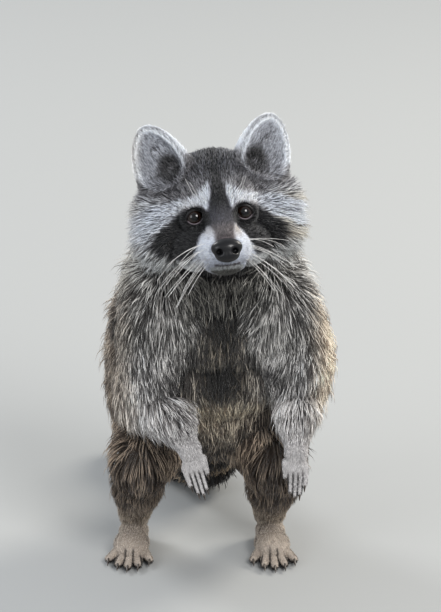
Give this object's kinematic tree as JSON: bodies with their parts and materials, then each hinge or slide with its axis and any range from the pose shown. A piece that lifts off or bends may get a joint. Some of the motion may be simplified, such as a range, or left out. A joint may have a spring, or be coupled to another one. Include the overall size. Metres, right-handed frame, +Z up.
{
  "type": "raccoon",
  "caption": "Still life-size raccoon that stands on its hind legs with its hands hanging in front of it, its tail laid on the floor behind.",
  "frame": {"origin": "on the floor, under the middle of the whole outline", "axes": "+Z up, the animal faces -Y, and its left side is +X"},
  "size_m": [0.1793, 0.3664, 0.3803],
  "materials": {
    "long_fur": "grizzled grey coat, matt",
    "short_fur": "short pale coat, matt",
    "tail_fur": "ringed coat, matt",
    "skin": "soft skin under the coat",
    "nose_pad": "moist, pebbled",
    "eye": "wet, glossy",
    "claw": "dark horn, satin",
    "whisker": "stiff pale hair"
  },
  "bodies": {
    "root": {"ear_left": "long_fur", "ear_right": "long_fur", "eye_left": "eye", "eye_right": "eye", "foot_claw_1_left": "claw", "foot_claw_1_right": "claw", "foot_claw_2_left": "claw", "foot_claw_2_right": "claw", "foot_claw_3_left": "claw", "foot_claw_3_right": "claw", "foot_claw_4_left": "claw", "foot_claw_4_right": "claw", "foot_claw_5_left": "claw", "foot_claw_5_right": "claw", "foot_left": "short_fur", "foot_right": "short_fur", "forearm_left": "short_fur", "forearm_right": "short_fur", "hand_claw_1_left": "claw", "hand_claw_1_right": "claw", "hand_claw_2_left": "claw", "hand_claw_2_right": "claw", "hand_claw_3_left": "claw", "hand_claw_3_right": "claw", "hand_claw_4_left": "claw", "hand_claw_4_right": "claw", "hand_claw_5_left": "claw", "hand_claw_5_right": "claw", "hand_left": "short_fur", "hand_right": "short_fur", "head": "long_fur", "jaw": "short_fur", "neck": "long_fur", "nose": "nose_pad", "shank_left": "long_fur", "shank_right": "long_fur", "tail_middle": "tail_fur", "tail_root": "tail_fur", "tail_tip": "tail_fur", "thigh_left": "long_fur", "thigh_right": "long_fur", "trunk": "long_fur", "upper_arm_left": "long_fur", "upper_arm_right": "long_fur"}
  },
  "joints": []
}
